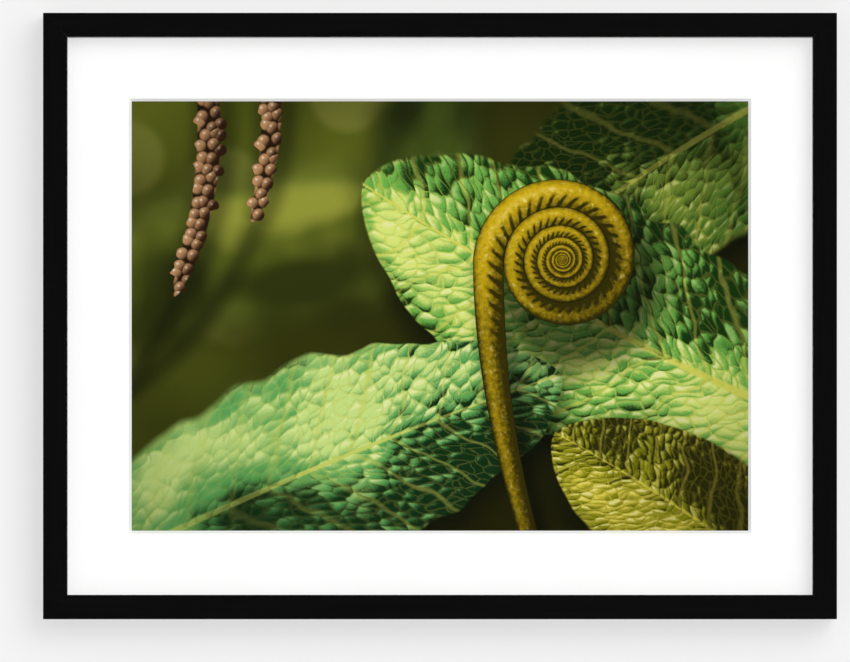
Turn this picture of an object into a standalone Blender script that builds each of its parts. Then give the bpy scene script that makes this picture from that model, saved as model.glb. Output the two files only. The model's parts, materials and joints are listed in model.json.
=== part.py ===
"""A landscape print behind a bevelled window mat, in a flat black wooden frame that hangs on a wall.

The front faces -Y and the wall is the plane y = 0. The origin is the point on that plane where the nail
sits in the middle notch of the sawtooth hanger, and +Z is up. Lengths are in metres.
"""

import math

import bmesh
import bpy
from mathutils import Matrix, Vector

MM = 0.001
GAP = 0.3 * MM  # left between pieces that touch

# What shows from the front
PICTURE_WIDTH = 494 * MM
PICTURE_HEIGHT = 344 * MM
MAT_MARGIN = 49 * MM  # flat face of the mat, from the frame to the top of the bevel
FACE_WIDTH = 19.3 * MM

# The moulding: a bar with a rabbet that takes the glazing, mat, print and boards
MOULDING_DEPTH = 24 * MM
LIP_COVER = 6 * MM
LIP_THICKNESS = 10 * MM
FRONT_ROUNDING = 0.8 * MM
BACK_ROUNDING = 0.5 * MM
ARC_STEPS = 4

# The layers in the rabbet, from front to back
PLAY = 1 * MM  # room on each side of the layers
GLAZING_THICKNESS = 2 * MM
MAT_THICKNESS = 2.2 * MM  # its window is cut at 45 degrees, so the bevel shows this wide
PRINT_THICKNESS = 0.4 * MM
PRINT_OVERLAP = 7 * MM  # of the paper behind the mat on each side
MOUNT_BOARD_THICKNESS = 3 * MM
BACK_BOARD_THICKNESS = 2.5 * MM
BOARD_BEVEL = 0.3 * MM

# Flat steel tabs driven into the rabbet, which hold the layers in
TAB_THICKNESS = 0.5 * MM
TAB_WIDTH = 7 * MM
TAB_DRIVEN = 5.5 * MM  # length inside the wood
TAB_SHOWN = 11.5 * MM  # length over the board
TAB_SPACING = 140 * MM
TABS_ON_LONG_RAIL = 4
TABS_ON_SHORT_RAIL = 3

# V-shaped nails pressed into the mitres from behind
NAIL_LEG = 5 * MM
NAIL_THICKNESS = 0.8 * MM
NAIL_DEPTH = 7 * MM
NAIL_SUNK = 0.2 * MM
NAIL_APEXES = (4.5 * MM, 10.5 * MM)  # from the outer corner, along the mitre

# Sawtooth hanger on the back of the top rail
HANGER_LENGTH = 48 * MM
HANGER_HEIGHT = 9.5 * MM
HANGER_SHEET = 1 * MM
HANGER_RAISE = 1.6 * MM  # of the toothed middle, over its flat ends
HANGER_FLAT_END = 8 * MM
HANGER_SLOPE = 1.8 * MM
HANGER_BELOW_TOP = 7.25 * MM  # its middle, under the frame's top edge
NOTCHES = 7
NOTCH_PITCH = 3.6 * MM
NOTCH_DEPTH = 2 * MM
TOOTH_FLAT = 0.3 * MM  # how far the teeth's ideal points pass the plate's edge

# The hanger's screws
SCREW_INSET = 4.2 * MM  # from the end of the hanger
SCREW_HEAD_RADIUS = 2.6 * MM
SCREW_HEAD_HEIGHT = 1.4 * MM
SCREW_SHANK_RADIUS = 1.2 * MM
SCREW_LENGTH = 12 * MM
SCREW_CLEARANCE = 0.35 * MM
RECESS_SLOT = (3 * MM, 0.7 * MM, 0.8 * MM)  # length, width and depth of each slot of the cross

# Round pads that hold the bottom of the frame off the wall
PAD_RADIUS = 5.5 * MM
PAD_THICKNESS = 3 * MM
PAD_ROUNDING = 0.6 * MM
PAD_FROM_SIDE = 23 * MM

ROUND_SIDES = 32

SIGHT_WIDTH = PICTURE_WIDTH + 2 * (MAT_MARGIN + MAT_THICKNESS)
SIGHT_HEIGHT = PICTURE_HEIGHT + 2 * (MAT_MARGIN + MAT_THICKNESS)
WIDTH = SIGHT_WIDTH + 2 * FACE_WIDTH
HEIGHT = SIGHT_HEIGHT + 2 * FACE_WIDTH
STEM_WIDTH = FACE_WIDTH - LIP_COVER
LAYER_WIDTH = SIGHT_WIDTH + 2 * (LIP_COVER - PLAY)
LAYER_HEIGHT = SIGHT_HEIGHT + 2 * (LIP_COVER - PLAY)

BACK_Y = -(PAD_THICKNESS + GAP)  # back face of the rails
FRONT_Y = BACK_Y - MOULDING_DEPTH
NOTCH_BELOW_TOP = HANGER_BELOW_TOP + HANGER_HEIGHT / 2 - NOTCH_DEPTH
TOP_Z = NOTCH_BELOW_TOP
MIDDLE_Z = TOP_Z - HEIGHT / 2
BOTTOM_Z = TOP_Z - HEIGHT

BLACK_LACQUER = ((0.006, 0.006, 0.006), 0.45, 0.0)
ACRYLIC = ((0.9, 0.95, 0.95), 0.05, 0.0)
WHITE_BOARD = ((0.86, 0.86, 0.85), 0.9, 0.0)
GREEN_PRINT = ((0.09, 0.16, 0.05), 0.5, 0.0)
FOAM_BOARD = ((0.78, 0.78, 0.76), 0.85, 0.0)
HARDBOARD = ((0.25, 0.13, 0.06), 0.7, 0.0)
ZINC_STEEL = ((0.55, 0.56, 0.58), 0.35, 1.0)
DARK_FELT = ((0.03, 0.03, 0.03), 0.95, 0.0)


def clear_scene():
    for old in list(bpy.data.objects):
        bpy.data.objects.remove(old, do_unlink=True)


def new_collection(name, parent):
    made = bpy.data.collections.new(name)
    parent.children.link(made)
    return made


def material(name, look):
    """A plain Principled material, made once for each name."""
    found = bpy.data.materials.get(name)
    if found:
        return found
    colour, roughness, metallic = look
    made = bpy.data.materials.new(name)
    made.use_nodes = True
    shader = made.node_tree.nodes["Principled BSDF"]
    shader.inputs["Base Color"].default_value = (*colour, 1.0)
    shader.inputs["Roughness"].default_value = roughness
    shader.inputs["Metallic"].default_value = metallic
    made.diffuse_color = (*colour, 1.0)
    return made


def add_mesh(name, mesh, place, home):
    made = bpy.data.objects.new(name, mesh)
    made.matrix_world = place
    home.objects.link(made)
    return made


def finish_part(part, name, look):
    part.data.materials.clear()
    part.data.materials.append(material(name, look))


def as_cutter(cutter):
    cutter.hide_render = True
    cutter.display_type = "WIRE"
    return cutter


def block(name, size, centre, place, home):
    """A box of the given size, centred in the axes of place."""
    mesh = bpy.data.meshes.new(name)
    shape = bmesh.new()
    bmesh.ops.create_cube(shape, size=1)
    bmesh.ops.scale(shape, vec=size, verts=shape.verts)
    bmesh.ops.translate(shape, vec=centre, verts=shape.verts)
    shape.to_mesh(mesh)
    shape.free()
    return add_mesh(name, mesh, place, home)


def cylinder(name, radius, low, high, place, home):
    """A closed cylinder on the Z axis of place, from low to high."""
    mesh = bpy.data.meshes.new(name)
    shape = bmesh.new()
    bmesh.ops.create_cone(
        shape, cap_ends=True, segments=ROUND_SIDES, radius1=radius, radius2=radius, depth=high - low
    )
    bmesh.ops.translate(shape, vec=(0, 0, (low + high) / 2), verts=shape.verts)
    shape.to_mesh(mesh)
    shape.free()
    return add_mesh(name, mesh, place, home)


def prism(name, outline, thickness, place, home):
    """A flat outline in the XY plane of place, given half its thickness on each side of that plane."""
    curve = bpy.data.curves.new(name + "_outline", "CURVE")
    curve.dimensions = "2D"
    curve.fill_mode = "BOTH"
    curve.extrude = thickness / 2
    spline = curve.splines.new("POLY")
    spline.points.add(len(outline) - 1)
    for point, (x, y) in zip(spline.points, outline):
        point.co = (x, y, 0, 1)
    spline.use_cyclic_u = True
    drawn = bpy.data.objects.new(name + "_outline", curve)
    home.objects.link(drawn)
    graph = bpy.context.evaluated_depsgraph_get()
    mesh = bpy.data.meshes.new_from_object(drawn.evaluated_get(graph))
    mesh.name = name
    bpy.data.objects.remove(drawn, do_unlink=True)
    shape = bmesh.new()
    shape.from_mesh(mesh)
    bmesh.ops.remove_doubles(shape, verts=shape.verts, dist=0.01 * MM)
    bmesh.ops.recalc_face_normals(shape, faces=shape.faces)
    for face in shape.faces:
        face.smooth = False
    shape.to_mesh(mesh)
    shape.free()
    return add_mesh(name, mesh, place, home)


def cut(part, cutters, homes):
    """Takes the cutters, which share one collection, out of the part."""
    taken = new_collection("cut_from_" + part.name, homes["cutters"])
    for cutter in cutters:
        taken.objects.link(as_cutter(cutter))
    boolean = part.modifiers.new("cut", "BOOLEAN")
    boolean.operation = "DIFFERENCE"
    boolean.solver = "EXACT"
    boolean.operand_type = "COLLECTION"
    boolean.collection = taken


def turned_about_y(degrees, x, y, z):
    return Matrix.Translation((x, y, z)) @ Matrix.Rotation(math.radians(degrees), 4, "Y")


def rail_places():
    """Each rail's axes: X goes in from its outer edge, Y goes back from its face, and Z runs along it."""
    return {
        "rail_left": (turned_about_y(0, -WIDTH / 2, FRONT_Y, MIDDLE_Z), HEIGHT),
        "rail_top": (turned_about_y(90, 0, FRONT_Y, TOP_Z), WIDTH),
        "rail_right": (turned_about_y(180, WIDTH / 2, FRONT_Y, MIDDLE_Z), HEIGHT),
        "rail_bottom": (turned_about_y(270, 0, FRONT_Y, BOTTOM_Z), WIDTH),
    }


def corner_places():
    """Each corner's axes: X runs in along the mitre, Y goes back from the face. With the rails that meet."""
    left, right = -WIDTH / 2, WIDTH / 2
    return {
        "top_left": (turned_about_y(45, left, FRONT_Y, TOP_Z), ("rail_top", "rail_left")),
        "top_right": (turned_about_y(135, right, FRONT_Y, TOP_Z), ("rail_top", "rail_right")),
        "bottom_right": (turned_about_y(225, right, FRONT_Y, BOTTOM_Z), ("rail_bottom", "rail_right")),
        "bottom_left": (turned_about_y(315, left, FRONT_Y, BOTTOM_Z), ("rail_bottom", "rail_left")),
    }


# Turns the XY plane of an outline into the plane of the frame, with its Y along the rail
FLAT_ON_FRAME = Matrix.Rotation(math.radians(90), 4, "X")


def rounded_corner(x, y, from_angle, radius):
    """Points of a quarter circle inside the corner at x, y, turning through 90 degrees."""
    start = math.radians(from_angle)
    middle = start + math.radians(45)
    centre_x = x - radius * math.copysign(1, math.cos(middle))
    centre_y = y - radius * math.copysign(1, math.sin(middle))
    points = []
    for step in range(ARC_STEPS + 1):
        angle = start + math.radians(90) * step / ARC_STEPS
        points.append((centre_x + radius * math.cos(angle), centre_y + radius * math.sin(angle)))
    return points


def moulding_outline():
    """Section of the moulding: x goes in from the outer edge and y goes back from the face."""
    outline = rounded_corner(0, 0, 180, FRONT_ROUNDING)
    outline += rounded_corner(FACE_WIDTH, 0, 270, FRONT_ROUNDING)
    outline += [(FACE_WIDTH, LIP_THICKNESS), (STEM_WIDTH, LIP_THICKNESS)]
    outline += rounded_corner(STEM_WIDTH, MOULDING_DEPTH, 0, BACK_ROUNDING)
    outline += rounded_corner(0, MOULDING_DEPTH, 90, BACK_ROUNDING)
    return outline


def mitre_saws(name, place, length, homes):
    """A block past each end of a rail, whose near face is the 45 degree cut."""
    reach = 4 * FACE_WIDTH
    kerf = GAP / 2 * math.sqrt(2)
    saws = []
    for end in (-1, 1):
        away = Vector((1, 0, end)).normalized()
        start = Vector((0, MOULDING_DEPTH / 2, end * (length / 2 - kerf)))
        turn = Matrix.Rotation(math.radians(-45 * end), 4, "Y")
        block_place = place @ Matrix.Translation(start + away * reach / 2) @ turn
        saw = block(f"{name}_saw_{end}", (reach, reach, reach), (0, 0, 0), block_place, homes["cutters"])
        saws.append(saw)
    return saws


def tab_stations(name):
    """Places of the tabs along a rail, counted from its middle."""
    long_rail = name in ("rail_top", "rail_bottom")
    count = TABS_ON_LONG_RAIL if long_rail else TABS_ON_SHORT_RAIL
    return [(i - (count - 1) / 2) * TAB_SPACING for i in range(count)]


def tab_depth():
    """Middle of the tabs' thickness, behind the face of the frame."""
    layers = GLAZING_THICKNESS + MAT_THICKNESS + PRINT_THICKNESS + MOUNT_BOARD_THICKNESS + BACK_BOARD_THICKNESS
    return LIP_THICKNESS + layers + 6 * GAP + TAB_THICKNESS / 2


def tab_outline():
    """A flat tab: x goes in from the frame's outer edge, with a blunt point in the wood and a round end."""
    half = TAB_WIDTH / 2
    tip = STEM_WIDTH - TAB_DRIVEN
    round_centre = STEM_WIDTH + TAB_SHOWN - half
    outline = [(tip + half, half), (tip, half / 3), (tip, -half / 3), (tip + half, -half)]
    for step in range(2 * ARC_STEPS + 1):
        angle = math.radians(-90 + 180 * step / (2 * ARC_STEPS))
        outline.append((round_centre + half * math.cos(angle), half * math.sin(angle)))
    return outline


def tab_pockets(name, place, homes):
    """Slots in the wall of the rabbet for the driven ends of the tabs."""
    length = TAB_DRIVEN + GAP + PLAY
    size = (length, TAB_THICKNESS + 2 * GAP, TAB_WIDTH + 2 * GAP)
    centre_x = STEM_WIDTH - TAB_DRIVEN - GAP + length / 2
    pockets = []
    for i, station in enumerate(tab_stations(name)):
        centre = (centre_x, tab_depth(), station)
        pockets.append(block(f"{name}_pocket_{i}", size, centre, place, homes["cutters"]))
    return pockets


def nail_outline(apex, leg, thickness):
    """A right-angled V whose point is at apex on the X axis."""
    along = Vector((1, 1)).normalized()
    inward = Vector((1, -1)).normalized()
    outer_end = Vector((apex, 0)) + along * leg
    inner_end = outer_end + inward * thickness
    inner_apex = (apex + thickness * math.sqrt(2), 0)
    return [
        (apex, 0),
        (outer_end.x, -outer_end.y),
        (inner_end.x, -inner_end.y),
        inner_apex,
        (inner_end.x, inner_end.y),
        (outer_end.x, outer_end.y),
    ]


def make_corner_nails(homes):
    """The nails of all four corners. Returns the slots that each rail needs for them."""
    slots = {name: [] for name in rail_places()}
    middle = MOULDING_DEPTH - NAIL_SUNK - NAIL_DEPTH / 2
    slot_depth = NAIL_DEPTH + GAP + PLAY
    slot_middle = MOULDING_DEPTH - NAIL_SUNK - NAIL_DEPTH - GAP + slot_depth / 2
    for corner, (place, rails) in corner_places().items():
        for i, apex in enumerate(NAIL_APEXES, start=1):
            outline = nail_outline(apex, NAIL_LEG, NAIL_THICKNESS)
            at = place @ Matrix.Translation((0, middle, 0)) @ FLAT_ON_FRAME
            nail = prism(f"corner_nail_{corner}_{i}", outline, NAIL_DEPTH, at, homes["parts"])
            finish_part(nail, "zinc_steel", ZINC_STEEL)
            wide = nail_outline(apex - GAP * math.sqrt(2), NAIL_LEG + 2 * GAP, NAIL_THICKNESS + 2 * GAP)
            at = place @ Matrix.Translation((0, slot_middle, 0)) @ FLAT_ON_FRAME
            slot = prism(f"nail_slot_{corner}_{i}", wide, slot_depth, at, homes["cutters"])
            for rail in rails:
                slots[rail].append(slot)
    return slots


def screw_places():
    """The two hanger screws: Z comes out of the wood towards the wall, from under the head."""
    head_seat = hanger_end_back() + GAP
    offset = HANGER_LENGTH / 2 - SCREW_INSET
    z = TOP_Z - HANGER_BELOW_TOP
    turn = Matrix.Rotation(math.radians(-90), 4, "X")
    return {
        "left": Matrix.Translation((-offset, head_seat, z)) @ turn,
        "right": Matrix.Translation((offset, head_seat, z)) @ turn,
    }


def hanger_end_back():
    """The back face of the hanger's flat ends."""
    return BACK_Y + GAP + HANGER_SHEET


def make_rails(nail_slots, homes):
    for name, (place, length) in rail_places().items():
        rail = prism(name, moulding_outline(), length, place, homes["parts"])
        finish_part(rail, "black_lacquer", BLACK_LACQUER)
        cutters = mitre_saws(name, place, length, homes)
        cutters += tab_pockets(name, place, homes)
        cutters += nail_slots[name]
        if name == "rail_top":
            for side, screw_place in screw_places().items():
                radius = SCREW_SHANK_RADIUS + SCREW_CLEARANCE
                hole = cylinder(f"pilot_hole_{side}", radius, -SCREW_LENGTH - GAP, PLAY, screw_place, homes["cutters"])
                cutters.append(hole)
        cut(rail, cutters, homes)


def make_board(name, size, front, look_name, look, homes):
    """A flat rectangular layer centred in the frame. Returns the object and the y of its back face."""
    width, thickness, height = size
    centre = (0, front + thickness / 2, MIDDLE_Z)
    board = block(name, size, (0, 0, 0), Matrix.Translation(centre), homes["parts"])
    finish_part(board, look_name, look)
    return board, front + thickness


def ease_edges(board, width):
    bevel = board.modifiers.new("eased_edges", "BEVEL")
    bevel.width = width
    bevel.segments = 1
    bevel.limit_method = "ANGLE"


def mat_window_cutter(back, homes):
    """A block through the mat, whose four sides open at 45 degrees towards the front."""
    past = 1 * MM
    depth = MAT_THICKNESS + 2 * past
    cutter = block(
        "window_cutter",
        (PICTURE_WIDTH - 2 * past, depth, PICTURE_HEIGHT - 2 * past),
        (0, 0, 0),
        Matrix.Translation((0, back + past - depth / 2, MIDDLE_Z)),
        homes["cutters"],
    )
    for vertex in cutter.data.vertices:
        if vertex.co.y < 0:
            vertex.co.x += math.copysign(depth, vertex.co.x)
            vertex.co.z += math.copysign(depth, vertex.co.z)
    return cutter


def make_layers(homes):
    """Glazing, mat, print and boards, each a gap behind the one before it."""
    full = (LAYER_WIDTH, LAYER_HEIGHT)
    front = FRONT_Y + LIP_THICKNESS + GAP
    size = (full[0], GLAZING_THICKNESS, full[1])
    glazing, back = make_board("glazing", size, front, "clear_acrylic", ACRYLIC, homes)
    ease_edges(glazing, BOARD_BEVEL)
    size = (full[0], MAT_THICKNESS, full[1])
    mat, back = make_board("window_mat", size, back + GAP, "mat_board", WHITE_BOARD, homes)
    cut(mat, [mat_window_cutter(back, homes)], homes)
    size = (PICTURE_WIDTH + 2 * PRINT_OVERLAP, PRINT_THICKNESS, PICTURE_HEIGHT + 2 * PRINT_OVERLAP)
    _, back = make_board("print_sheet", size, back + GAP, "print_paper", GREEN_PRINT, homes)
    size = (full[0], MOUNT_BOARD_THICKNESS, full[1])
    _, back = make_board("mount_board", size, back + GAP, "foam_board", FOAM_BOARD, homes)
    size = (full[0], BACK_BOARD_THICKNESS, full[1])
    board, _ = make_board("back_board", size, back + GAP, "hardboard", HARDBOARD, homes)
    ease_edges(board, BOARD_BEVEL)


def make_tabs(homes):
    for name, (place, _) in rail_places().items():
        side = name.removeprefix("rail_")
        for i, station in enumerate(tab_stations(name), start=1):
            at = place @ Matrix.Translation((0, tab_depth(), station)) @ FLAT_ON_FRAME
            tab = prism(f"tab_{side}_{i}", tab_outline(), TAB_THICKNESS, at, homes["parts"])
            finish_part(tab, "zinc_steel", ZINC_STEEL)


def hanger_outline():
    """The hanger from above: flat ends on the wood and a raised middle, as one strip of sheet."""
    half = HANGER_LENGTH / 2
    foot = half - HANGER_FLAT_END
    raised = foot - HANGER_SLOPE
    line = [(-half, 0), (-foot, 0), (-raised, HANGER_RAISE), (raised, HANGER_RAISE), (foot, 0), (half, 0)]
    front = [(x, y - HANGER_SHEET / 2) for x, y in line]
    back = [(x, y + HANGER_SHEET / 2) for x, y in reversed(line)]
    return front + back


def tooth_outline():
    """Everything under the toothed edge, as a zigzag with a notch in the middle."""
    low = -HANGER_HEIGHT / 2 - TOOTH_FLAT
    points = []
    for i in range(2 * NOTCHES + 1):
        x = (i - NOTCHES) * NOTCH_PITCH / 2
        points.append((x, -HANGER_HEIGHT / 2 + NOTCH_DEPTH if i % 2 else low))
    below = low - 2 * MM
    return [(points[0][0], below)] + [(points[-1][0], below)] + points[::-1]


def make_hanger(homes):
    height = TOP_Z - HANGER_BELOW_TOP
    sheet_middle = hanger_end_back() - HANGER_SHEET / 2
    at = Matrix.Translation((0, sheet_middle, height))
    hanger = prism("hanger", hanger_outline(), HANGER_HEIGHT, at, homes["parts"])
    finish_part(hanger, "zinc_steel", ZINC_STEEL)
    through = 4 * (HANGER_RAISE + HANGER_SHEET)
    teeth = prism("hanger_teeth", tooth_outline(), through, at @ FLAT_ON_FRAME, homes["cutters"])
    holes = []
    for side, place in screw_places().items():
        radius = SCREW_SHANK_RADIUS + SCREW_CLEARANCE
        holes.append(cylinder(f"hanger_hole_{side}", radius, -through / 2, through / 2, place, homes["cutters"]))
    cut(hanger, [teeth] + holes, homes)


def screw_profile():
    """Half of a pan-head screw, from the top of its head down to its point."""
    points = []
    for step in range(ARC_STEPS + 1):
        angle = math.radians(90 * step / ARC_STEPS)
        points.append((SCREW_HEAD_RADIUS * math.sin(angle), SCREW_HEAD_HEIGHT * (0.45 + 0.55 * math.cos(angle))))
    points += [
        (SCREW_HEAD_RADIUS, 0),
        (SCREW_SHANK_RADIUS, 0),
        (SCREW_SHANK_RADIUS, -SCREW_LENGTH + 2 * SCREW_SHANK_RADIUS),
        (0, -SCREW_LENGTH),
    ]
    return points


def make_screws(homes):
    for side, place in screw_places().items():
        name = f"hanger_screw_{side}"
        mesh = bpy.data.meshes.new(name)
        profile = screw_profile()
        edges = [(i, i + 1) for i in range(len(profile) - 1)]
        mesh.from_pydata([(x, 0, z) for x, z in profile], edges, [])
        screw = add_mesh(name, mesh, place, homes["parts"])
        finish_part(screw, "zinc_steel", ZINC_STEEL)
        turned = screw.modifiers.new("turned", "SCREW")
        turned.axis = "Z"
        turned.steps = ROUND_SIDES
        turned.render_steps = ROUND_SIDES
        turned.use_merge_vertices = True
        turned.merge_threshold = 0.00001
        length, width, depth = RECESS_SLOT
        middle = (0, 0, SCREW_HEAD_HEIGHT)
        slots = [
            block(f"{name}_slot_a", (length, width, 2 * depth), middle, place, homes["cutters"]),
            block(f"{name}_slot_b", (width, length, 2 * depth), middle, place, homes["cutters"]),
        ]
        cut(screw, slots, homes)


def make_pads(homes):
    turn = Matrix.Rotation(math.radians(-90), 4, "X")
    for side, sign in (("left", -1), ("right", 1)):
        x = sign * (WIDTH / 2 - PAD_FROM_SIDE)
        place = Matrix.Translation((x, BACK_Y + GAP, BOTTOM_Z + STEM_WIDTH / 2)) @ turn
        pad = cylinder(f"wall_pad_{side}", PAD_RADIUS, 0, PAD_THICKNESS, place, homes["parts"])
        finish_part(pad, "dark_felt", DARK_FELT)
        ease_edges(pad, PAD_ROUNDING)
        pad.modifiers["eased_edges"].segments = 2


def build():
    clear_scene()
    root = bpy.context.scene.collection
    homes = {"parts": new_collection("framed_print", root), "cutters": new_collection("cutters", root)}
    nail_slots = make_corner_nails(homes)
    make_rails(nail_slots, homes)
    make_layers(homes)
    make_tabs(homes)
    make_hanger(homes)
    make_screws(homes)
    make_pads(homes)


build()
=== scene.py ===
import json
import math
import random

import bmesh
import bpy
from mathutils import Matrix, Vector

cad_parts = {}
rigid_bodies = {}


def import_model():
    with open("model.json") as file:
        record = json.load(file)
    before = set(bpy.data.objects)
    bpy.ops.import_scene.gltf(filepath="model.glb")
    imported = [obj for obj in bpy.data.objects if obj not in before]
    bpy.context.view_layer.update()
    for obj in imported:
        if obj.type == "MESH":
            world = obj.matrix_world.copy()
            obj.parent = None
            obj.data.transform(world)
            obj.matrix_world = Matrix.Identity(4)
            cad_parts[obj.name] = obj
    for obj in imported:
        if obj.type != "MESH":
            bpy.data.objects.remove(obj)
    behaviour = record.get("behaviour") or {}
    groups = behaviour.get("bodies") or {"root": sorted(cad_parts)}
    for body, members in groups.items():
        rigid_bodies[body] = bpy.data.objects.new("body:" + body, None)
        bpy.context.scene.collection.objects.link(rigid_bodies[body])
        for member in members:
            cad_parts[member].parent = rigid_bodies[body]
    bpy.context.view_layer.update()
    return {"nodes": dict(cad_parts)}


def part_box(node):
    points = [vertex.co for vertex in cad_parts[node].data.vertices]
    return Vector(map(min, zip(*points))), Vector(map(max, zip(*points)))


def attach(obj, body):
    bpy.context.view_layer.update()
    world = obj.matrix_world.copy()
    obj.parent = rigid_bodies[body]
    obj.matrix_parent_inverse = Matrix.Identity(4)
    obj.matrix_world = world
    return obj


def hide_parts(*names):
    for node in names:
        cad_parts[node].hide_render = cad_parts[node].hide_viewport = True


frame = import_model()
mm = 0.001

# the picture, the mat and the frame share one middle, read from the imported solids
topLow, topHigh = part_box("rail_top")
frontY, backY = topLow.y, topHigh.y
leftX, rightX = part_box("rail_left")[0].x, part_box("rail_right")[1].x
bottomZ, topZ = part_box("rail_bottom")[0].z, topHigh.z
wholeWidth, wholeHeight = rightX - leftX, topZ - bottomZ
middleZ = (topZ + bottomZ) / 2
print("frame loaded: %.0f x %.0f mm" % (wholeWidth / mm, wholeHeight / mm))


class Field:  # one output of a node, wrapped so that the trees below read as sums
    def __init__(self, socket):
        self.socket = socket

    def __add__(self, other):
        return calc("ADD", self, other)

    def __sub__(self, other):
        return calc("SUBTRACT", self, other)

    def __rsub__(self, other):
        return calc("SUBTRACT", other, self)

    def __mul__(self, other):
        return calc("MULTIPLY", self, other)

    def __truediv__(self, other):
        return calc("DIVIDE", self, other)

    def __pow__(self, other):
        return calc("POWER", self, other)

    def __neg__(self):
        return calc("MULTIPLY", self, -1)

    __radd__ = __add__
    __rmul__ = __mul__


def fromSrgb(code):  # a paint chip's hex code as the linear colour Blender works in
    parts = [int(code[i:i + 2], 16) / 255 for i in (1, 3, 5)]
    return tuple(p / 12.92 if p < 0.04045 else ((p + 0.055) / 1.055) ** 2.4 for p in parts)


def wire(socket, value):  # links a field; anything else becomes the socket's own value
    if isinstance(value, Field):
        socket.id_data.links.new(value.socket, socket)
    elif socket.type == "RGBA":
        socket.default_value = (*(fromSrgb(value) if isinstance(value, str) else value), 1)
    elif socket.type == "VECTOR":
        socket.default_value = (value,) * 3 if isinstance(value, (int, float)) else (*value, 0)[:3]
    else:
        socket.default_value = value


def addNode(tree, kind, settings=None, **values):
    node = tree.nodes.new(kind)
    for name, value in (settings or {}).items():
        setattr(node, name, value)
    for name, value in values.items():
        wire(node.inputs[name.replace("_", " ")], value)
    return node


def outOf(tree, kind, settings=None, output=0, **values):
    return Field(addNode(tree, kind, settings, **values).outputs[output])


def treeOf(*values):  # the tree that the first field among them lies in
    return next(value.socket.id_data for value in values if isinstance(value, Field))


def inTurn(kind, values, output=0, **settings):  # a node whose inputs take the values in turn
    node = addNode(treeOf(*values), kind, settings)
    for socket, value in zip(node.inputs, values):
        wire(socket, value)
    return Field(node.outputs[output])


def calc(operation, *values, **settings):  # vector maths where one of the values is a vector or a colour
    onVectors = any(isinstance(v, Field) and v.socket.type in ("VECTOR", "RGBA") for v in values)
    kind = "ShaderNodeVectorMath" if onVectors else "ShaderNodeMath"
    output = "Value" if operation in ("LENGTH", "DISTANCE", "DOT_PRODUCT") else 0
    return inTurn(kind, values, output, operation=operation, **settings)


def fade(value, low, high, toLow=0.0, toHigh=1.0):
    return inTurn("ShaderNodeMapRange", (value, low, high, toLow, toHigh), interpolation_type="SMOOTHSTEP")


def blend(share, under, over):
    node = addNode(treeOf(share, under, over), "ShaderNodeMix", {"data_type": "RGBA"})
    for index, value in ((0, share), (6, under), (7, over)):
        wire(node.inputs[index], value)
    return Field(node.outputs[2])


def join(x, y, z=0.0):
    return inTurn("ShaderNodeCombineXYZ", (x, y, z))


def split(vector):
    node = addNode(treeOf(vector), "ShaderNodeSeparateXYZ", Vector=vector)
    return [Field(output) for output in node.outputs]


def noise(place, scale, detail=2.0, roughness=0.5, flat=False, output=0):
    settings = {"noise_dimensions": "2D" if flat else "3D"}
    return outOf(treeOf(place), "ShaderNodeTexNoise", settings, output,
                 Vector=place, Scale=scale, Detail=detail, Roughness=roughness)


def cells(place, scale=1.0, randomness=1.0, flat=True, feature="F1"):
    settings = {"voronoi_dimensions": "2D" if flat else "3D", "feature": feature}
    node = addNode(treeOf(place), "ShaderNodeTexVoronoi", settings,
                   Vector=place, Scale=scale, Randomness=randomness)
    return {output.name: Field(output) for output in node.outputs}


def ramp(value, stops):
    node = addNode(treeOf(value), "ShaderNodeValToRGB")
    wire(node.inputs[0], value)
    elements = node.color_ramp.elements
    while len(elements) < len(stops):
        elements.new(0.5)
    for element, (place, color) in zip(elements, stops):
        element.position = place
        element.color = (*fromSrgb(color), 1)
    return Field(node.outputs[0])


def bump(height, distance):
    return outOf(treeOf(height), "ShaderNodeBump", Height=height, Distance=distance, Strength=1.0)


def newMaterial(name, attribute=None):  # its pattern lies on Object coordinates, or on an attribute
    made = bpy.data.materials.new(name)
    made.use_nodes = True
    if attribute:
        return made, outOf(made.node_tree, "ShaderNodeAttribute", {"attribute_name": attribute}, "Vector")
    return made, outOf(made.node_tree, "ShaderNodeTexCoord", output="Object")


def paint(made, **values):
    shader = made.node_tree.nodes["Principled BSDF"]
    for name, value in values.items():
        wire(shader.inputs[name.replace("_", " ")], value)
    return made


def rayIs(made, kind):
    return outOf(made.node_tree, "ShaderNodeLightPath", output=kind)


def seeThrough(made, share, tint=(1, 1, 1)):  # that share of the light passes as if nothing were there
    tree = made.node_tree
    surface = Field(tree.nodes["Principled BSDF"].outputs[0])
    through = outOf(tree, "ShaderNodeBsdfTransparent", Color=tint)
    wire(tree.nodes["Material Output"].inputs["Surface"],
         inTurn("ShaderNodeMixShader", (share, surface, through)))


def nodeGroup(name, family, inputs, output):
    tree = bpy.data.node_groups.new(name, family + "NodeTree")
    for kind, labels in inputs.items():
        for label in labels:
            tree.interface.new_socket(label, in_out="INPUT", socket_type="NodeSocket" + kind)
    tree.interface.new_socket(output, in_out="OUTPUT", socket_type="NodeSocket" + output)
    given = {socket.name: Field(socket) for socket in tree.nodes.new("NodeGroupInput").outputs}
    return tree, given, tree.nodes.new("NodeGroupOutput").inputs[0]


def addGroup(group, values):
    node = treeOf(*values.values()).nodes.new("ShaderNodeGroup")
    node.node_tree = group
    for name, value in values.items():
        wire(node.inputs[name], value)
    return Field(node.outputs[0])


def endTree(tree, result, shape, finish):
    real = outOf(tree, "GeometryNodeRealizeInstances", Geometry=shape)
    wire(result, outOf(tree, "GeometryNodeSetMaterial", Geometry=real, Material=finish))
    return tree


def joinShapes(tree, *shapes):
    node = addNode(tree, "GeometryNodeJoinGeometry")
    for shape in shapes:
        wire(node.inputs[0], shape)
    return Field(node.outputs[0])


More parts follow.
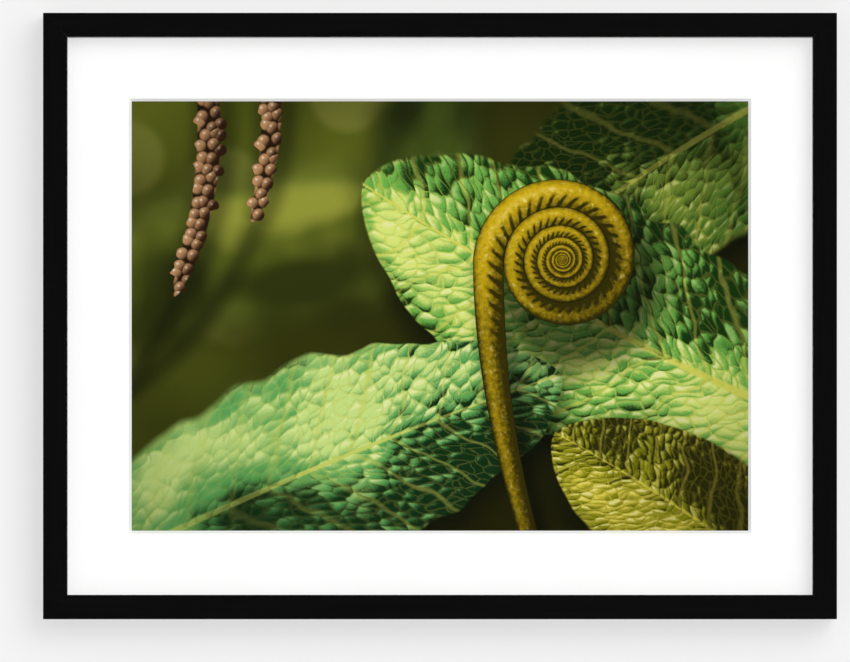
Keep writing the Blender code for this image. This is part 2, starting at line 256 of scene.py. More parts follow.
def meshObject(name, shape):
    mesh = bpy.data.meshes.new(name)
    shape.to_mesh(mesh)
    shape.free()
    made = bpy.data.objects.new(name, mesh)
    bpy.context.scene.collection.objects.link(made)
    return made


def outwardObject(name, shape):
    bmesh.ops.recalc_face_normals(shape, faces=shape.faces)
    return meshObject(name, shape)


def dropObject(piece):
    bpy.data.objects.remove(piece, do_unlink=True)


def addModifier(piece, kind, **settings):
    made = piece.modifiers.new(kind.lower(), kind)
    for name, value in settings.items():
        setattr(made, name, value)
    return made


def settle(piece):  # swaps a piece's mesh for its evaluated one and drops its modifiers
    graph = bpy.context.evaluated_depsgraph_get()
    mesh = bpy.data.meshes.new_from_object(
        piece.evaluated_get(graph), preserve_all_data_layers=True, depsgraph=graph)
    piece.modifiers.clear()
    piece.data = mesh
    return piece


def runTree(piece, tree, values):
    modifier = addModifier(piece, "NODES", node_group=tree)
    for item in tree.interface.items_tree:
        if item.item_type == "SOCKET" and item.in_out == "INPUT" and item.name in values:
            modifier[item.identifier] = values[item.name]
    return settle(piece)


def inOrder(piece):  # a Boolean lists its points and faces in no set order, so they're sorted by place
    spots = [vertex.co.copy() for vertex in piece.data.vertices]
    order = sorted(range(len(spots)), key=lambda index: spots[index].to_tuple(6))
    rank = {index: number for number, index in enumerate(order)}
    faces = []
    for polygon in piece.data.polygons:
        corners = [rank[index] for index in polygon.vertices]
        first = corners.index(min(corners))
        faces.append(corners[first:] + corners[:first])
    piece.data = bpy.data.meshes.new(piece.name)
    piece.data.from_pydata([spots[index] for index in order], [], sorted(faces))
    return piece


def softenEdges(piece, width, segments=2, degrees=30):
    addModifier(piece, "BEVEL", width=width, segments=segments, limit_method="ANGLE",
                angle_limit=math.radians(degrees))
    return settle(piece)


def crispEdges(piece, degrees):
    piece.data.shade_smooth()
    piece.data.set_sharp_from_angle(angle=math.radians(degrees))
    addModifier(piece, "WEIGHTED_NORMAL", keep_sharp=True, weight=90)
    return settle(piece)


def ringOf(shape, points):
    ring = [shape.verts.new(point) for point in points]
    for ends in zip(ring, ring[1:] + ring[:1]):
        shape.edges.new(ends)
    return ring


def boxShape(size, middle):
    shape = bmesh.new()
    bmesh.ops.create_cube(shape, size=1)
    bmesh.ops.scale(shape, vec=size, verts=shape.verts)
    bmesh.ops.translate(shape, vec=middle, verts=shape.verts)
    return shape


def turnedShape(outline, sides):
    # a half section of radii and heights turned about Y, its points and faces always in the same order
    shape = bmesh.new()
    rings = []
    for radius, y in outline:
        angles = [2 * math.pi * i / sides for i in range(sides if radius else 1)]
        rings.append([shape.verts.new((radius * math.cos(a), y, radius * math.sin(a))) for a in angles])
    for upper, lower in zip(rings, rings[1:]):
        for i in range(sides):
            steps = ((upper, i), (upper, i + 1), (lower, i + 1), (lower, i))
            corners = [ring[step % len(ring)] for ring, step in steps]
            shape.faces.new(list(dict.fromkeys(corners)))  # three corners at a pole
    return shape


moulding = {"face": 19.3 * mm, "lipCover": 6 * mm, "lip": 10 * mm, "frontRounding": 0.4 * mm,
            "innerRounding": 0.35 * mm, "backRounding": 0.5 * mm, "arcSteps": 6, "jointGap": 0.07 * mm}
deep, stem = backY - frontY, moulding["face"] - moulding["lipCover"]
lacquer = {"attribute": "alongMoulding", "black": (0.0012, 0.0012, 0.0013), "worn": (0.0021, 0.0020, 0.0019),
           "bareWood": [(0.25, "#b58f63"), (0.5, "#caa677"), (0.75, "#d8b98c")], "pore": "#8a6742",
           "stain": "#a98863", "bounce": (0.13, 0.13, 0.13), "poreStretch": 0.055, "bandStretch": 0.02,
           "poreDepth": 0.05 * mm, "overspray": 0.55 * mm, "sprayedTo": 0.38 * mm,
           "nextStick": 3.7}  # metres on, so that no two rails are cut from one stretch of wood


def lacqueredWood():
    made, place = newMaterial("blackLacquerOnWood", lacquer["attribute"])
    x, y, _ = split(place)
    pores = noise(place * (1, 1, lacquer["poreStretch"]), 2600, 3.0, 0.65)
    bands = noise(place * (1, 1, lacquer["bandStretch"]), 420, 4.0, 0.6)
    # bare wood on the back and in the rabbet, with the lacquer's ragged edge
    depth = y + (noise(place, 900, 4.0) - 0.5) * lacquer["overspray"]
    rawFrom = deep - lacquer["sprayedTo"]
    onBack = fade(depth, rawFrom, rawFrom + 0.2 * mm)
    besideLayers = fade(x, stem - 0.3 * mm, stem - 0.1 * mm)
    inRabbet = fade(depth, moulding["lip"] + 0.05 * mm, moulding["lip"] + 1.5 * mm) * besideLayers
    raw = calc("MAXIMUM", onBack, inRabbet)
    black = blend(fade(bands, 0.35, 0.7), lacquer["black"], lacquer["worn"])
    wood = blend(fade(pores, 0.62, 0.75, 0, 0.55), ramp(bands, lacquer["bareWood"]), lacquer["pore"])
    wood = blend(fade(noise(place, 30, 3.0), 0.45, 0.75, 0, 0.3), wood, lacquer["stain"])
    # the back is lit from behind the wall, so what bounces off it is kept faint and grey
    wood = blend(rayIs(made, "Is Diffuse Ray"), wood, lacquer["bounce"])
    gloss = fade(noise(place, 110, 3.0), 0.3, 0.7, 0.30, 0.335)
    relief = pores * (0.35 + raw) + bands * 0.4
    return paint(made, Base_Color=blend(raw, black, wood), Roughness=gloss + raw * 0.45,
                 Specular_IOR_Level=0.1, Normal=bump(relief, lacquer["poreDepth"]))


paper = {"matFacePaper": ((0.955, 0.955, 0.953), (0.944, 0.944, 0.94)),
         "matCore": ((0.92, 0.92, 0.915), (0.88, 0.88, 0.87)), "tooth": 1500, "drag": 700,
         "toothDepth": 0.035 * mm}


def matPaper(name):
    made, place = newMaterial(name)
    tooth = relief = noise(place, paper["tooth"], 4.0, 0.7)
    if name == "matCore":  # a blade's faint drag lines along the bevel
        relief = noise(place * (1, 9, 1), paper["drag"], 3.0)
    return paint(made, Base_Color=blend(fade(noise(place, 24, 3.0), 0.3, 0.75), *paper[name]),
                 Roughness=fade(tooth, 0.3, 0.7, 0.86, 0.96), Specular_IOR_Level=0.2,
                 Normal=bump(relief, paper["toothDepth"]))


acrylic = {"tint": (0.998, 0.999, 0.998), "through": (0.988, 0.989, 0.988),
           "bending": 1.08}  # as little glare as a coated pane has


def clearAcrylic():
    made, _ = newMaterial("clearAcrylicGlazing")
    toPicture = calc("MAXIMUM", rayIs(made, "Is Shadow Ray"), rayIs(made, "Is Diffuse Ray"))
    seeThrough(made, toPicture, acrylic["through"])  # light reaches the picture straight through
    return paint(made, Base_Color=acrylic["tint"], Transmission_Weight=1.0, Roughness=0.0,
                 IOR=acrylic["bending"])


foam = {"beads": 900, "pale": (0.86, 0.86, 0.84), "dark": (0.79, 0.79, 0.77), "beadDepth": 0.05 * mm}


def foamBoard():
    made, place = newMaterial("foamMountBoard")
    beads = cells(place, foam["beads"], flat=False)["Distance"]
    return paint(made, Base_Color=blend(fade(beads, 0.2, 0.7), foam["pale"], foam["dark"]),
                 Roughness=fade(beads, 0.1, 0.8, 0.75, 0.9), Normal=bump(beads, foam["beadDepth"]))


board = {"fibre": 1500, "flecks": 1300, "grit": 4200, "fibreDepth": 0.04 * mm, "fleckColor": "#43290f",
         "fibreColor": "#a98256", "gritColor": "#553a20",
         "cloud": [(0.3, "#7a5633"), (0.5, "#825c38"), (0.72, "#8a643e")]}


def hardboard():
    made, place = newMaterial("pressedHardboard")
    bent = place + noise(place, 60, 3.0, output="Color") * 0.012
    upright = noise(bent * (1, 1, 0.12), board["fibre"], 4.0, 0.7)
    level = noise(bent * (0.12, 1, 1), board["fibre"], 4.0, 0.7)
    fibres = calc("MAXIMUM", upright, level)
    grit = noise(place, board["grit"], 2.0)
    color = ramp(noise(place, 9, 4.0, 0.6), board["cloud"])
    color = blend(fade(fibres, 0.5, 0.75, 0, 0.42), color, board["fibreColor"])
    color = blend(fade(noise(bent, board["flecks"], 2.0), 0.66, 0.74, 0, 0.6), color, board["fleckColor"])
    color = blend(fade(grit, 0.35, 0.7, 0, 0.22), color, board["gritColor"])
    return paint(made, Base_Color=color, Roughness=fade(fibres, 0.4, 0.75, 0.52, 0.7),
                 Normal=bump(fibres + grit * 0.5, board["fibreDepth"]))


zinc = {"spangle": 420, "rolled": 2600, "rollStretch": 0.08, "dull": (0.50, 0.51, 0.53),
        "bright": (0.62, 0.63, 0.64), "tarnish": (0.36, 0.35, 0.33), "rollDepth": 0.012 * mm}


def zincSteel():
    made, place = newMaterial("zincPlatedSteel")
    patch = split(cells(place, zinc["spangle"], flat=False)["Color"])[0]
    rolled = noise(place * (zinc["rollStretch"], 1, 1), zinc["rolled"], 3.0)
    tarnish = noise(place, 160, 4.0, 0.65)
    color = blend(patch, zinc["dull"], zinc["bright"])
    color = blend(fade(tarnish, 0.5, 0.75, 0, 0.5), color, zinc["tarnish"])
    rough = fade(rolled, 0.3, 0.7, 0.22, 0.34) + fade(tarnish, 0.5, 0.8, 0.0, 0.22)
    return paint(made, Base_Color=color, Metallic=1.0, Roughness=rough,
                 Normal=bump(rolled + tarnish, zinc["rollDepth"]))


felt = {"hair": 3200, "clump": 500, "dark": (0.012, 0.012, 0.013), "pale": (0.05, 0.05, 0.052),
        "dust": (0.075, 0.073, 0.07), "hairDepth": 0.12 * mm}


def pressedFelt():
    made, place = newMaterial("charcoalFelt")
    hair = noise(place, felt["hair"], 4.0, 0.75)
    clump = noise(place, felt["clump"], 3.0)
    color = blend(fade(hair, 0.35, 0.7), felt["dark"], felt["pale"])
    color = blend(fade(clump, 0.5, 0.8, 0, 0.5), color, felt["dust"])
    return paint(made, Base_Color=color, Roughness=0.95, Sheen_Weight=0.4, Sheen_Roughness=0.5,
                 Normal=bump(hair, felt["hairDepth"]))


# the picture: metres from the print's middle, colours as a paint chip's, from the back to the front
picture = {
    "background": [(0.0, "#1d1d02"), (0.3, "#2d3006"), (0.6, "#42480f"), (0.85, "#5d6519"), (1.0, "#7c8128")],
    "lightDiscs": "#c2bd62",
    "awayFromLight": (0.55, -0.83, 0),  # its light comes from the upper left
    "everyLeaf": {
        "Focus Point": (0.085, -0.02), "Bend": 0.0, "Fullness": 0.62, "Blur": 0.0009, "Cell": 0.0085,
        "Rib Spacing": 0.036, "Detail": 1.0, "Tilt": 0.6, "Shadow": 0.9, "Glow": 0.42},
    "farLeaves": [
        {"Foot": (-0.31, 0.00), "Degrees": 24, "Length": 0.36, "Width": 0.060, "Bend": -0.22, "Seed": 3.0,
         "Colors": "#2a3008 #4d5616 #8b8f34 #83903c", "Blur": 0.020, "Detail": 0.0, "Shadow": 0.3},
        {"Foot": (0.02, 0.25), "Degrees": -112, "Length": 0.22, "Width": 0.040, "Bend": 0.15, "Seed": 5.0,
         "Colors": "#1c2406 #3c4a14 #6d7d2c #6c823a", "Blur": 0.013, "Detail": 0.05, "Shadow": 0.35}],
    "everyCatkin": {"Cell": 0.0088, "Softness": 0.06, "Light": "#b98a5e", "Dark": "#2c170b"},
    "catkins": [
        {"Middle": (-0.515, 0.150), "Radius": 0.330, "From": -0.42, "To": 0.35, "Half Width": 0.0100,
         "Seed": 2.0},
        {"Middle": (-0.405, 0.165), "Radius": 0.270, "From": -0.34, "To": 0.40, "Half Width": 0.0086,
         "Seed": 6.0}],
    "nearLeaves": [
        {"Foot": (0.315, 0.20), "Degrees": 205, "Length": 0.35, "Width": 0.086, "Bend": 0.16, "Seed": 7.0,
         "Colors": "#0f2204 #3f6620 #a2b040 #a9a846", "Cell": 0.0078, "Glow": 0.12, "Blur": 0.0028,
         "Detail": 0.8},
        {"Foot": (0.33, -0.10), "Degrees": 158, "Length": 0.44, "Width": 0.098, "Bend": -0.10, "Seed": 11.0,
         "Colors": "#12320a #66a544 #cfdb74 #cbca55", "Cell": 0.0098, "Glow": 0.44, "Rib Spacing": 0.042},
        {"Foot": (-0.30, -0.215), "Degrees": 27, "Length": 0.43, "Width": 0.083, "Bend": -0.07, "Seed": 17.0,
         "Colors": "#0c2a0e #579b50 #bdd47c #bcc45a", "Cell": 0.0088, "Glow": 0.37, "Tilt": 0.85},
        {"Foot": (0.30, -0.235), "Degrees": 140, "Length": 0.25, "Width": 0.060, "Bend": 0.10, "Seed": 23.0,
         "Colors": "#262703 #80800f #dccb4c #cdbf46", "Cell": 0.0065, "Glow": 0.36, "Rib Spacing": 0.026}],
    "frond": {
        "Middle": (0.098, 0.045), "Radius": 0.058, "Growth": 0.42, "Leaflets": 34.0, "Stalk Bend": 0.75,
        "Stalk Length": 4.4, "Light": "#cbaa14", "Dark": "#2d2802", "Seam": "#efe184"},
}


def leafGroup():
    tree, given, result = nodeGroup("printedLeaf", "Shader", {
        "Color": ["Under", "Dark", "Body", "Light", "Seam"],
        "Vector": ["Place", "Foot", "Direction", "Focus Point"],
        "Float": ["Length", "Width", "Bend", "Fullness", "Blur", "Cell", "Rib Spacing", "Detail", "Tilt",
                  "Shadow", "Seed", "Glow"]}, "Color")
    place, foot, ahead, seed = given["Place"], given["Foot"], given["Direction"], given["Seed"]
    length, width, spacing = given["Length"], given["Width"], given["Rib Spacing"]
    aheadX, aheadY, _ = split(ahead)
    side = join(-aheadY, aheadX)
    along = calc("DOT_PRODUCT", place - foot, ahead)
    share = along / length
    across = calc("DOT_PRODUCT", place - foot, side) - share * share * given["Bend"] * length

    # the outline: half is the leaf's half width here, and rim the distance in from its edge
    wave = noise(join(along, seed), 22, 1.0, flat=True)
    swell = calc("MULTIPLY", share * (1 - share), 4, use_clamp=True)
    half = swell ** given["Fullness"] * (0.86 + wave * 0.28) * width
    past = calc("MAXIMUM", calc("MAXIMUM", along - length, -along), 0)
    off = calc("LENGTH", join(across, past))
    rim = half - off

    # where the camera was focused, and how soft and faint the leaf's detail is away from there
    haze = fade(calc("DISTANCE", place, given["Focus Point"]), 0.10, 0.29)
    detail = given["Detail"] * (1 - haze * 0.72)
    blur = given["Blur"] + haze * 0.0035

    # its shade on what lies under it falls to the lower right
    awayAcross = calc("DOT_PRODUCT", side, picture["awayFromLight"])
    awayAlong = calc("DOT_PRODUCT", ahead, picture["awayFromLight"])
    shadeSide = fade(across * awayAcross / width, -0.5, 0.6, 0.1, 1.0)
    shade = fade(rim, -0.030, 0.004) * shadeSide * given["Shadow"]
    under = blend(shade, given["Under"], (0.002, 0.003, 0.0005))

    # side ribs leave the midrib at a slant, and the cells lie along them
    ripple = noise(place + foot, 30, 1.0, flat=True)
    slanted = along - off * 0.75 + (ripple - 0.5) * 0.016
    ribPhase = calc("PINGPONG", slanted, spacing * 0.5)
    sideRib = 1 - fade(ribPhase, 0.0004, spacing * (0.06 + haze * 0.12))
    midWidth = width * fade(share, 0, 1, 0.045, 0.012)
    midRib = 1 - fade(off, midWidth * 0.5, midWidth)
    spot = join(slanted, across) / given["Cell"] + join(seed, seed)
    wobble = noise(spot, 0.9, 1.0, flat=True)
    spot = spot + join(wobble, wobble * -0.8) * 0.7
    edge = cells(spot, feature="DISTANCE_TO_EDGE")["Distance"]
    cell = cells(spot)
    dome = calc("DOT_PRODUCT", cell["Position"] - spot, join(awayAlong, awayAcross))
    dome = dome * fade(edge, 0.0, 0.15, 0.25, 1.0)
    seam = 1 - fade(edge, 0.01, 0.10 + haze * 0.16)
    tone = split(cell["Color"])[0]

    # brightness over the leaf: one half faces the light, the rim rolls away, patches are in shade
    facing = (fade(across / width, -0.55, 0.55) - 0.5) * given["Tilt"]
    patches = noise(place + join(seed, 0.0), 8, 2.0, flat=True)
    light = (given["Glow"] + facing + (patches - 0.5) * 2.1) * fade(rim, 0.0, 0.022, 0.6, 1.0)
    crown = (ribPhase / spacing - 0.2) * 0.34
    grooves = fade(edge, 0.02, 0.22, -0.16, 0.0)
    mottle = (noise(place, 620, 3.0, 0.7, flat=True) - 0.5) * 0.42
    fine = (tone - 0.5) * 0.26 + dome * 0.82 + crown + grooves + mottle
    light = calc("ADD", light, fine * detail, use_clamp=True)
    color = blend(fade(light, 0.0, 0.5), given["Dark"], given["Body"])
    color = blend(fade(light, 0.5, 1.05), color, given["Light"])
    yellowed = fade(noise(place, 13, 2.0, flat=True), 0.46, 0.74, 0.0, 0.55)
    color = blend(yellowed * light, color, given["Light"])

    # wet glints on the cells' lit sides, then the veins
    glint = fade(dome, 0.2, 0.42) * fade(edge, 0.06, 0.2) * light * light * detail * 0.75
    color = blend(glint, color, (0.74, 0.74, 0.36))
    color = blend(seam * fade(light, 0.05, 0.85, 0.1, 0.62) * detail, color, given["Seam"])
    ribs = calc("MAXIMUM", sideRib * detail * 0.7, midRib * fade(detail, 0.0, 0.4))
    color = blend(ribs * fade(light, 0.0, 0.7, 0.3, 0.9), color, given["Seam"])
    edgeLine = 1 - fade(rim, 0.0005, 0.0028 + blur)
    color = blend(edgeLine * light * 0.45, color, given["Seam"])
    wire(result, blend(fade(rim, -blur, blur), under, color))
    return tree


def frondGroup():
    # a log spiral: each turn of the young frond lies in the one outside it, and the last is the stalk
    tree, given, result = nodeGroup("printedFrond", "Shader", {
        "Color": ["Under", "Dark", "Light", "Seam"],
        "Vector": ["Place", "Middle"],
        "Float": ["Radius", "Growth", "Leaflets", "Stalk Bend", "Stalk Length"]}, "Color")
    growth = given["Growth"]
    fromMiddle = (given["Place"] - given["Middle"]) / given["Radius"]
    x, y, _ = split(fromMiddle)
    angle = calc("ARCTAN2", y, x) / (2 * math.pi)
    turn = calc("LOGARITHM", calc("LENGTH", fromMiddle), math.e) / growth - angle
    whole = calc("FLOOR", turn)
    inCoil = calc("LESS_THAN", whole, 0)

    # the stalk takes over on the left, where the outermost turn ends
    lowest = calc("EXPONENT", growth * -0.5)
    highest = calc("EXPONENT", growth * 0.5)
    down = -y
    downShare = down / given["Stalk Length"]
    thick = (highest - lowest) * fade(downShare, 0, 1, 1.0, 0.62)
    middle = (highest + lowest) * -0.5 + downShare * downShare * given["Stalk Bend"]
    acrossStalk = 0.5 + (middle - x) / thick
    fromStalk = calc("ABSOLUTE", acrossStalk - 0.5)
    inStalk = calc("GREATER_THAN", down, 0) * calc("LESS_THAN", fromStalk, 0.5)
    onCoil = join(turn - whole, whole + angle)
    onStalk = join(acrossStalk, down / 6.4 - 0.5)
    across, totalTurn, _ = split(blend(inStalk * (1 - inCoil), onCoil, onStalk))
    onFrond = calc("MAXIMUM", inCoil, inStalk)

    # shade on the leaves behind, thrown to the lower right
    thrown = calc("LENGTH", fromMiddle - (0.20, -0.30, 0))
    coilShade = fade(thrown, 0.95, 1.62, 0.86, 0.0)
    besideStalk = calc("ABSOLUTE", fromStalk + calc("SIGN", x - middle) * -0.35)
    stalkShade = fade(besideStalk, 0.3, 1.25, 0.8, 0.0) * fade(down, -0.2, 0.3)
    under = blend(calc("MAXIMUM", coilShade, stalkShade), given["Under"], (0.002, 0.003, 0.0004))

    # a round body, lit from the upper left, with the rolled leaflets along its inner side
    fromCrown = calc("ABSOLUTE", across * 2 - 1)
    body = 1 - fromCrown ** 3.0
    roundness = body * fade(across, 0.0, 0.95, 0.3, 1.0)
    inner = (1 - fade(across, 0.42, 0.62)) * fade(downShare, 0.05, 0.4, 1.0, 0.0)
    leafletPhase = calc("PINGPONG", totalTurn * given["Leaflets"] + across * 1.6, 0.5)
    leaflet = fade(leafletPhase, 0.05, 0.3) * inner
    rough = noise(given["Place"], 260, 3.0, 0.7, flat=True) - 0.5
    facing = calc("MAXIMUM", y, -1) * 0.8 - x * 0.55
    light = roundness * 0.62 + facing * 0.30 + rough * 0.55 - 0.04
    light = calc("SUBTRACT", light, (inner - leaflet) * 0.38, use_clamp=True)
    color = blend(fade(light, 0.0, 0.9), given["Dark"], given["Light"])
    glow = fade(light, 0.62, 1.0) * fade(fromCrown, 0.1, 0.7, 0.75, 0.0)
    color = blend(glow, color, given["Seam"])
    hairs = fade(noise(join(totalTurn * 60, across * 5), 1.0, 2.0, flat=True), 0.6, 0.75)
    color = blend(hairs * body * light * 0.55, color, given["Seam"])
    gap = blend(onFrond, under, (0.005, 0.006, 0.0006))
    wire(result, blend(onFrond * fade(body, 0.0, 0.22), gap, color))
    return tree


def catkinGroup():
    # a hanging spike of small round scales, packed along an arc
    tree, given, result = nodeGroup("printedCatkin", "Shader", {
        "Color": ["Under", "Dark", "Light"],
        "Vector": ["Place", "Middle"],
        "Float": ["Radius", "From", "To", "Half Width", "Cell", "Seed", "Softness"]}, "Color")
    radius, cell, seed, halfWidth = given["Radius"], given["Cell"], given["Seed"], given["Half Width"]
    fromMiddle = given["Place"] - given["Middle"]
    x, y, _ = split(fromMiddle)
    angle = calc("ARCTAN2", y, x)
    off = calc("LENGTH", fromMiddle) - radius
    spot = join(angle * radius / cell + seed, off / cell)
    scales = cells(spot, randomness=0.72)
    centreAlong, centreOff, _ = split(scales["Position"])
    centreAngle = (centreAlong - seed) * cell / radius

    def taper(atAngle):
        share = (atAngle - given["From"]) / (given["To"] - given["From"])
        return calc("MULTIPLY", share * (1 - share), 4, use_clamp=True) ** 0.38 * halfWidth

    present = calc("LESS_THAN", calc("ABSOLUTE", centreOff * cell), taper(centreAngle))
    core = taper(angle) - calc("ABSOLUTE", off)

    # each scale is a small dome; u and v are turned back to the picture's axes for its light
    u, v, _ = split(spot - scales["Position"])
    cosine, sine = calc("COSINE", angle), calc("SINE", angle)
    domeX = v * cosine - u * sine
    domeY = v * sine + u * cosine
    bodyLit = 0.55 - off / halfWidth * 0.42
    tone = (split(scales["Color"])[0] - 0.5) * 0.3
    light = calc("ADD", bodyLit, (domeY * 1.25 - domeX * 0.85) * 0.5 + tone, use_clamp=True)
    color = blend(fade(light, 0.05, 1.0), given["Dark"], given["Light"])
    fromGlint = calc("DISTANCE", join(domeX, domeY), (-0.15, 0.19, 0))
    color = blend(fade(fromGlint, 0.04, 0.19, 0.75, 0.0) * light, color, (0.78, 0.70, 0.56))
    color = blend(fade(scales["Distance"], 0.42, 0.66), color, (0.016, 0.007, 0.002))

    shadeSide = core + calc("SIGN", off) * 0.004
    under = blend(fade(shadeSide, -0.016, 0.0, 0.0, 0.55), given["Under"], (0.003, 0.004, 0.001))
    disc = fade(scales["Distance"], 0.5, 0.54 + given["Softness"], 1.0, 0.0)
    wire(result, blend(calc("MAXIMUM", present * disc, fade(core, 0.0, 0.0016)), under, color))
    return tree


def printedDesign():
    made, where = newMaterial("printedPhotoPaper")
    x, _, z = split(where - (0, 0, middleZ))
    place = join(x, z)  # the picture's own plane, in metres from its middle
    leaf, frond, catkin = leafGroup(), frondGroup(), catkinGroup()

    def addLeaf(under, sizes):
        values = {**picture["everyLeaf"], **sizes, "Under": under, "Place": place}
        turn = math.radians(values.pop("Degrees"))
        values["Direction"] = (math.cos(turn), math.sin(turn))
        values.update(zip(("Dark", "Body", "Light", "Seam"), values.pop("Colors").split()))
        return addGroup(leaf, values)

    # soft background: deep olive, lighter to the left, with faint discs of light
    drift = noise(place, 3.6, 2.0, flat=True)
    glow = x * -1.2 + z + 0.22 + (drift - 0.5) * 1.5
    disc = fade(cells(place, 10, 0.9)["Distance"], 0.25, 0.36, 0.16, 0.0) * fade(glow, 0.2, 0.9)
    color = blend(disc, ramp(glow, picture["background"]), picture["lightDiscs"])
    for sizes in picture["farLeaves"]:
        color = addLeaf(color, sizes)
    for sizes in picture["catkins"]:
        color = addGroup(catkin, {**picture["everyCatkin"], **sizes, "Under": color, "Place": place})
    for sizes in picture["nearLeaves"]:
        color = addLeaf(color, sizes)
    color = addGroup(frond, {**picture["frond"], "Under": color, "Place": place})

    # darker corners and a little grain, as a camera leaves
    corners = fade(calc("LENGTH", place * (1, 1.25, 0)), 0.14, 0.36, 1.0, 0.55)
    grain = fade(noise(place, 1500, 1.0, flat=True), 0.2, 0.8, 0.94, 1.06)
    lustre = noise(place, 1900, 1.0, flat=True)
    return paint(made, Base_Color=color * corners * grain, Specular_IOR_Level=0.06,
                 Roughness=fade(lustre, 0.3, 0.7, 0.42, 0.52), Normal=bump(lustre, 0.008 * mm))


def mouldingTree():
    tree, given, result = nodeGroup("sweepMoulding", "Geometry", {
        "Geometry": ["Geometry"], "Float": ["Length", "Joint Gap", "Turn"], "Int": ["Arc Steps"],
        "Vector": ["Place"], "Material": ["Finish"]}, "Geometry")
    section = outOf(tree, "GeometryNodeMeshToCurve", Mesh=given["Geometry"])
    radius = outOf(tree, "GeometryNodeInputNamedAttribute", {"data_type": "FLOAT"}, Name="rounding")
    rounded = outOf(tree, "GeometryNodeFilletCurve", {"mode": "POLY"}, Curve=section,
                    Count=given["Arc Steps"], Radius=radius, Limit_Radius=True)
    lowEnd = outOf(tree, "GeometryNodeFillCurve", {"mode": "NGONS"}, Curve=rounded)
    raised = outOf(tree, "GeometryNodeExtrudeMesh", {"mode": "FACES"}, Mesh=lowEnd, Offset=(0, 0, 1),
                   Offset_Scale=1.0, Individual=False)
    stick = joinShapes(tree, raised, outOf(tree, "GeometryNodeFlipFaces", Mesh=lowEnd))
    merged = outOf(tree, "GeometryNodeMergeByDistance", Geometry=stick, Distance=0.01 * mm)
    # each end is sheared to 45 degrees: the further in a point lies, the shorter the stick there
    x, y, z = split(outOf(tree, "GeometryNodeInputPosition"))
    alongStick = (z * 2 - 1) * (given["Length"] * 0.5 - given["Joint Gap"] - x)
    mitred = outOf(tree, "GeometryNodeSetPosition", Geometry=merged, Position=join(x, y, alongStick))
    placed = outOf(tree, "GeometryNodeTransform", Geometry=mitred, Translation=given["Place"],
                   Rotation=join(0.0, given["Turn"], 0.0))
    return endTree(tree, result, placed, given["Finish"])


def sectionMesh():
    face, lip = moulding["face"], moulding["lip"]
    corners = {(0, 0): moulding["frontRounding"], (face, 0): moulding["innerRounding"],
               (face, lip): moulding["backRounding"], (stem, lip): 0.05 * mm,
               (stem, deep): moulding["backRounding"], (0, deep): moulding["backRounding"]}
    shape = bmesh.new()
    rounding = shape.verts.layers.float.new("rounding")
    for vertex, radius in zip(ringOf(shape, [(*corner, 0) for corner in corners]), corners.values()):
        vertex[rounding] = radius
    return meshObject("mouldingSection", shape)


# each rail's turn about Y, the middle of its outer front edge, and its length
railPlaces = {
    "rail_left": (0, (leftX, frontY, middleZ), wholeHeight),
    "rail_top": (90, (0, frontY, topZ), wholeWidth),
    "rail_right": (180, (rightX, frontY, middleZ), wholeHeight),
    "rail_bottom": (270, (0, frontY, bottomZ), wholeWidth),
}


def placeMatrix(degrees, place):
    return Matrix.Translation(place) @ Matrix.Rotation(math.radians(degrees), 4, "Y")


cornerNails = {"leg": 5 * mm, "thick": 0.8 * mm, "deep": 7 * mm, "sunk": 0.25 * mm, "burr": 0.08 * mm,
               "apexes": (4.5 * mm, 10.5 * mm), "slotRoom": 0.12 * mm, "slotRise": 2 * mm}


def nailShape(name, room=0.0):  # with room round it, the same shape cuts its slot
    leg, thick = cornerNails["leg"] + 2 * room, cornerNails["thick"] + 2 * room
    apex = -room * math.sqrt(2)
    outer = Vector((apex, 0)) + Vector((1, 1)).normalized() * leg
    inner = outer + Vector((1, -1)).normalized() * thick
    outline = [(apex, 0), (outer.x, -outer.y), (inner.x, -inner.y), (apex + thick * math.sqrt(2), 0),
               tuple(inner), tuple(outer)]
    high = cornerNails["slotRise"] if room else 0.0
    shape = bmesh.new()
    face = shape.faces.new([shape.verts.new((x, high, z)) for x, z in outline])
    for item in bmesh.ops.extrude_face_region(shape, geom=[face])["geom"]:
        if isinstance(item, bmesh.types.BMVert):
            item.co.y = -cornerNails["deep"]
    if not room:
        sharp = [edge for edge in shape.edges if edge.calc_face_angle(0) > 0.5]
        bmesh.ops.bevel(shape, geom=sharp, offset=cornerNails["burr"], segments=1, affect="EDGES")
    return outwardObject(name, shape)


def nailPlaces():
    spots = []
    for degrees, x, z in ((45, -1, 1), (135, 1, 1), (225, 1, -1), (315, -1, -1)):
        turn = Matrix.Rotation(math.radians(degrees), 3, "Y")
        corner = Vector((x * wholeWidth / 2, backY - cornerNails["sunk"], middleZ + z * wholeHeight / 2))
        for apex in cornerNails["apexes"]:
            spots.append((degrees, corner + turn @ Vector((apex, 0, 0))))
    return spots


def scatterTree():
    # copies an item to every point of the base mesh, turned about Y by each point's own angle
    tree, given, result = nodeGroup("copyToSpots", "Geometry", {
        "Geometry": ["Geometry"], "Object": ["Item"], "Material": ["Finish"]}, "Geometry")
    item = outOf(tree, "GeometryNodeObjectInfo", output="Geometry", Object=given["Item"])
    turn = outOf(tree, "GeometryNodeInputNamedAttribute", {"data_type": "FLOAT"}, Name="turn")
    copies = outOf(tree, "GeometryNodeInstanceOnPoints", Points=given["Geometry"], Instance=item,
                   Rotation=join(0.0, turn, 0.0))
    return endTree(tree, result, copies, given["Finish"])


def copyToSpots(name, item, spots, finish):
    shape = bmesh.new()
    turn = shape.verts.layers.float.new("turn")
    for degrees, place in spots:
        shape.verts.new(place)[turn] = math.radians(degrees)
    piece = runTree(meshObject(name, shape), copyTree, {"Item": item, "Finish": finish})
    dropObject(item)
    return piece


